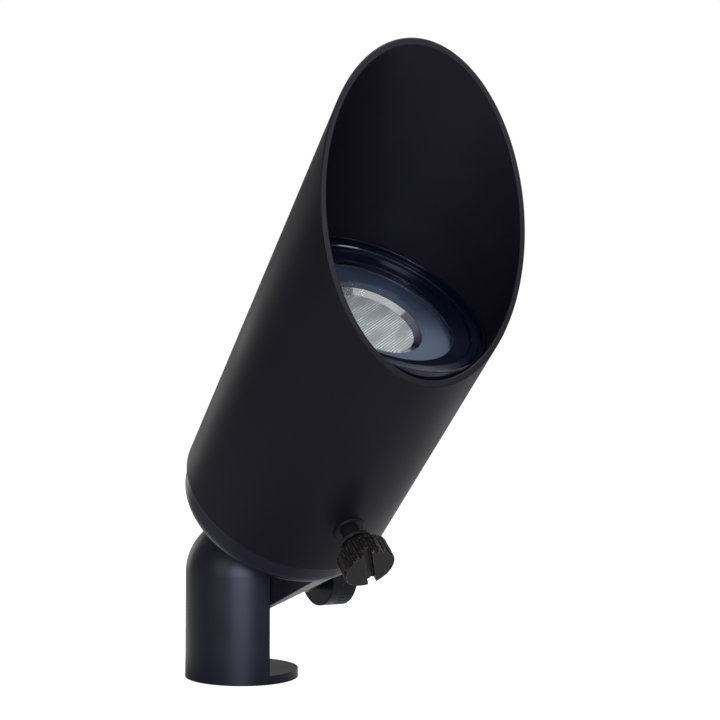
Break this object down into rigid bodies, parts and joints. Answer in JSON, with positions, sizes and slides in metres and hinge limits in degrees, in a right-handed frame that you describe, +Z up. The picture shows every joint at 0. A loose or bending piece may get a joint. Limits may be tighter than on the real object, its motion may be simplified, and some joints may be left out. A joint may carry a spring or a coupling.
{
  "type": "garden spotlight",
  "caption": "Low-voltage garden spotlight with a slanted sliding shroud on a tilting knuckle, made to screw onto a ground spike.",
  "frame": {"origin": "centre of the base flange's underside", "axes": "+Z up, out of the base; the tilt axis is along X with its screw on the +X side; the tube leans towards -Y"},
  "size_m": [0.0702, 0.1192, 0.175],
  "materials": {
    "body_coat": "die cast, satin black powder coat",
    "shroud_coat": "drawn tube, satin black powder coat",
    "screw_black": "black-oxide brass, fine straight flutes",
    "washer_steel": "stainless steel, darkened",
    "ring_anodised": "black anodised, satin",
    "front_glass": "clear tempered",
    "lamp_aluminium": "die cast, bare",
    "lamp_face": "blue-grey lacquer",
    "lamp_chrome": "vacuum metallised",
    "optic_clear": "clear polycarbonate, patterned face",
    "board_white": "white solder mask",
    "lamp_base_white": "moulded",
    "pin_metal": "nickel plated",
    "ceramic": "unglazed ceramic",
    "bracket_steel": "zinc plated",
    "lead_sleeve": "silicone insulation",
    "seal_rubber": "silicone rubber",
    "nylon": "moulded nylon"
  },
  "bodies": {
    "stem": {"knuckle_stem": "body_coat", "knuckle_seal": "seal_rubber", "knuckle_washer": "nylon"},
    "head": {"lamp_housing": "body_coat", "tilt_flat_washer": "washer_steel", "lamp_cushion": "seal_rubber", "lens_gasket": "seal_rubber", "lamp_heatsink": "lamp_aluminium", "lamp_bezel": "lamp_face", "lamp_reflector": "lamp_chrome", "lamp_optic": "optic_clear", "lamp_board": "board_white", "lamp_base": "lamp_base_white", "lamp_pins": "pin_metal", "lamp_socket": "ceramic", "socket_contacts": "pin_metal", "socket_bracket": "bracket_steel", "socket_screws": "bracket_steel", "bracket_screws": "bracket_steel", "lead_wires": "lead_sleeve", "lead_grommet": "seal_rubber"},
    "lens": {"lens_glass": "front_glass"},
    "lens_ring": {"lens_ring": "ring_anodised"},
    "glide": {"glide_ring": "nylon"},
    "shroud": {"shroud": "shroud_coat", "screw_bush": "screw_black"},
    "shroud_washer": {"shroud_screw_washer": "washer_steel"},
    "shroud_screw": {"shroud_screw": "screw_black"},
    "tilt_washer": {"tilt_spring_washer": "washer_steel"},
    "tilt_screw": {"tilt_screw": "screw_black"}
  },
  "joints": [
    {"name": "tilt", "type": "hinge", "parent": "stem", "child": "head", "pos_m": [0, 0, 0.032], "axis": [1, 0, 0], "range_deg": [-135, 45]},
    {"name": "shroud_slide", "type": "slide", "parent": "head", "child": "glide", "axis": [0, -0.7071, 0.7071], "range_m": [0, 0.02]},
    {"name": "shroud_turn", "type": "hinge", "parent": "glide", "child": "shroud", "pos_m": [0, 0, 0.032], "axis": [0, -0.7071, 0.7071], "continuous": true},
    {"name": "lens_feed", "type": "slide", "parent": "head", "child": "lens", "axis": [0, -0.7071, 0.7071], "range_m": [0, 0.0046]},
    {"name": "lens_ring_turn", "type": "hinge", "parent": "lens", "child": "lens_ring", "pos_m": [0, 0, 0.032], "axis": [0, -0.7071, 0.7071], "range_deg": [0, 1080]},
    {"name": "shroud_screw_feed", "type": "slide", "parent": "shroud", "child": "shroud_washer", "axis": [0, -0.7071, -0.7071], "range_m": [0, 0.0025]},
    {"name": "shroud_screw_turn", "type": "hinge", "parent": "shroud_washer", "child": "shroud_screw", "pos_m": [0, -0.04094, 0.07294], "axis": [0, -0.7071, -0.7071], "range_deg": [0, 1080]},
    {"name": "tilt_screw_feed", "type": "slide", "parent": "stem", "child": "tilt_washer", "axis": [1, 0, 0], "range_m": [0, 0.0031]},
    {"name": "tilt_screw_turn", "type": "hinge", "parent": "tilt_washer", "child": "tilt_screw", "pos_m": [0, 0, 0.032], "axis": [1, 0, 0], "range_deg": [0, 1080]}
  ],
  "couplings": [
    {"joint": "lens_feed", "follows": "lens_ring_turn", "m_per_rad": 0.00023873},
    {"joint": "shroud_screw_feed", "follows": "shroud_screw_turn", "m_per_rad": 0.00012732},
    {"joint": "tilt_screw_feed", "follows": "tilt_screw_turn", "m_per_rad": 0.00015915}
  ]
}
